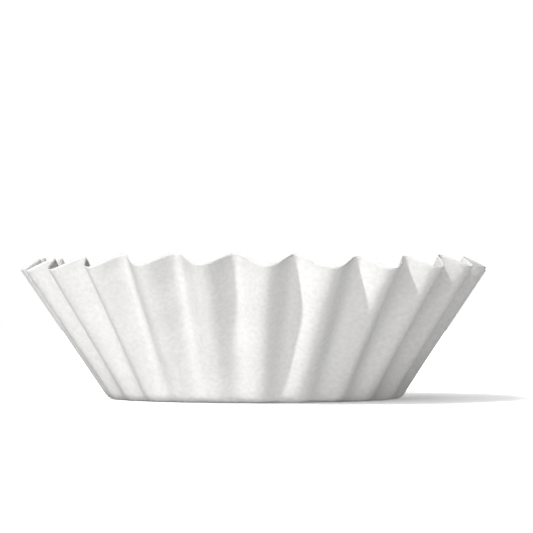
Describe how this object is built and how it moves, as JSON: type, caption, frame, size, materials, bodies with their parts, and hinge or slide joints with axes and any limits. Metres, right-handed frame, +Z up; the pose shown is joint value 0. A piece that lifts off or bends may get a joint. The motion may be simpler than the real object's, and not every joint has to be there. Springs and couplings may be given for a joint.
{
  "type": "paper coffee filter",
  "caption": "Flat-bottomed basket coffee filter, one round sheet of white paper pressed into a fluted bowl.",
  "frame": {"origin": "centre of the flat bottom, on the surface it stands on", "axes": "+Z up along the bowl's axis, towards the open rim; -Y is the front; +X is to the right"},
  "size_m": [0.1917, 0.1921, 0.0572],
  "materials": {
    "paper": "matt"
  },
  "bodies": {
    "root": {"filter_paper": "paper"}
  },
  "joints": []
}
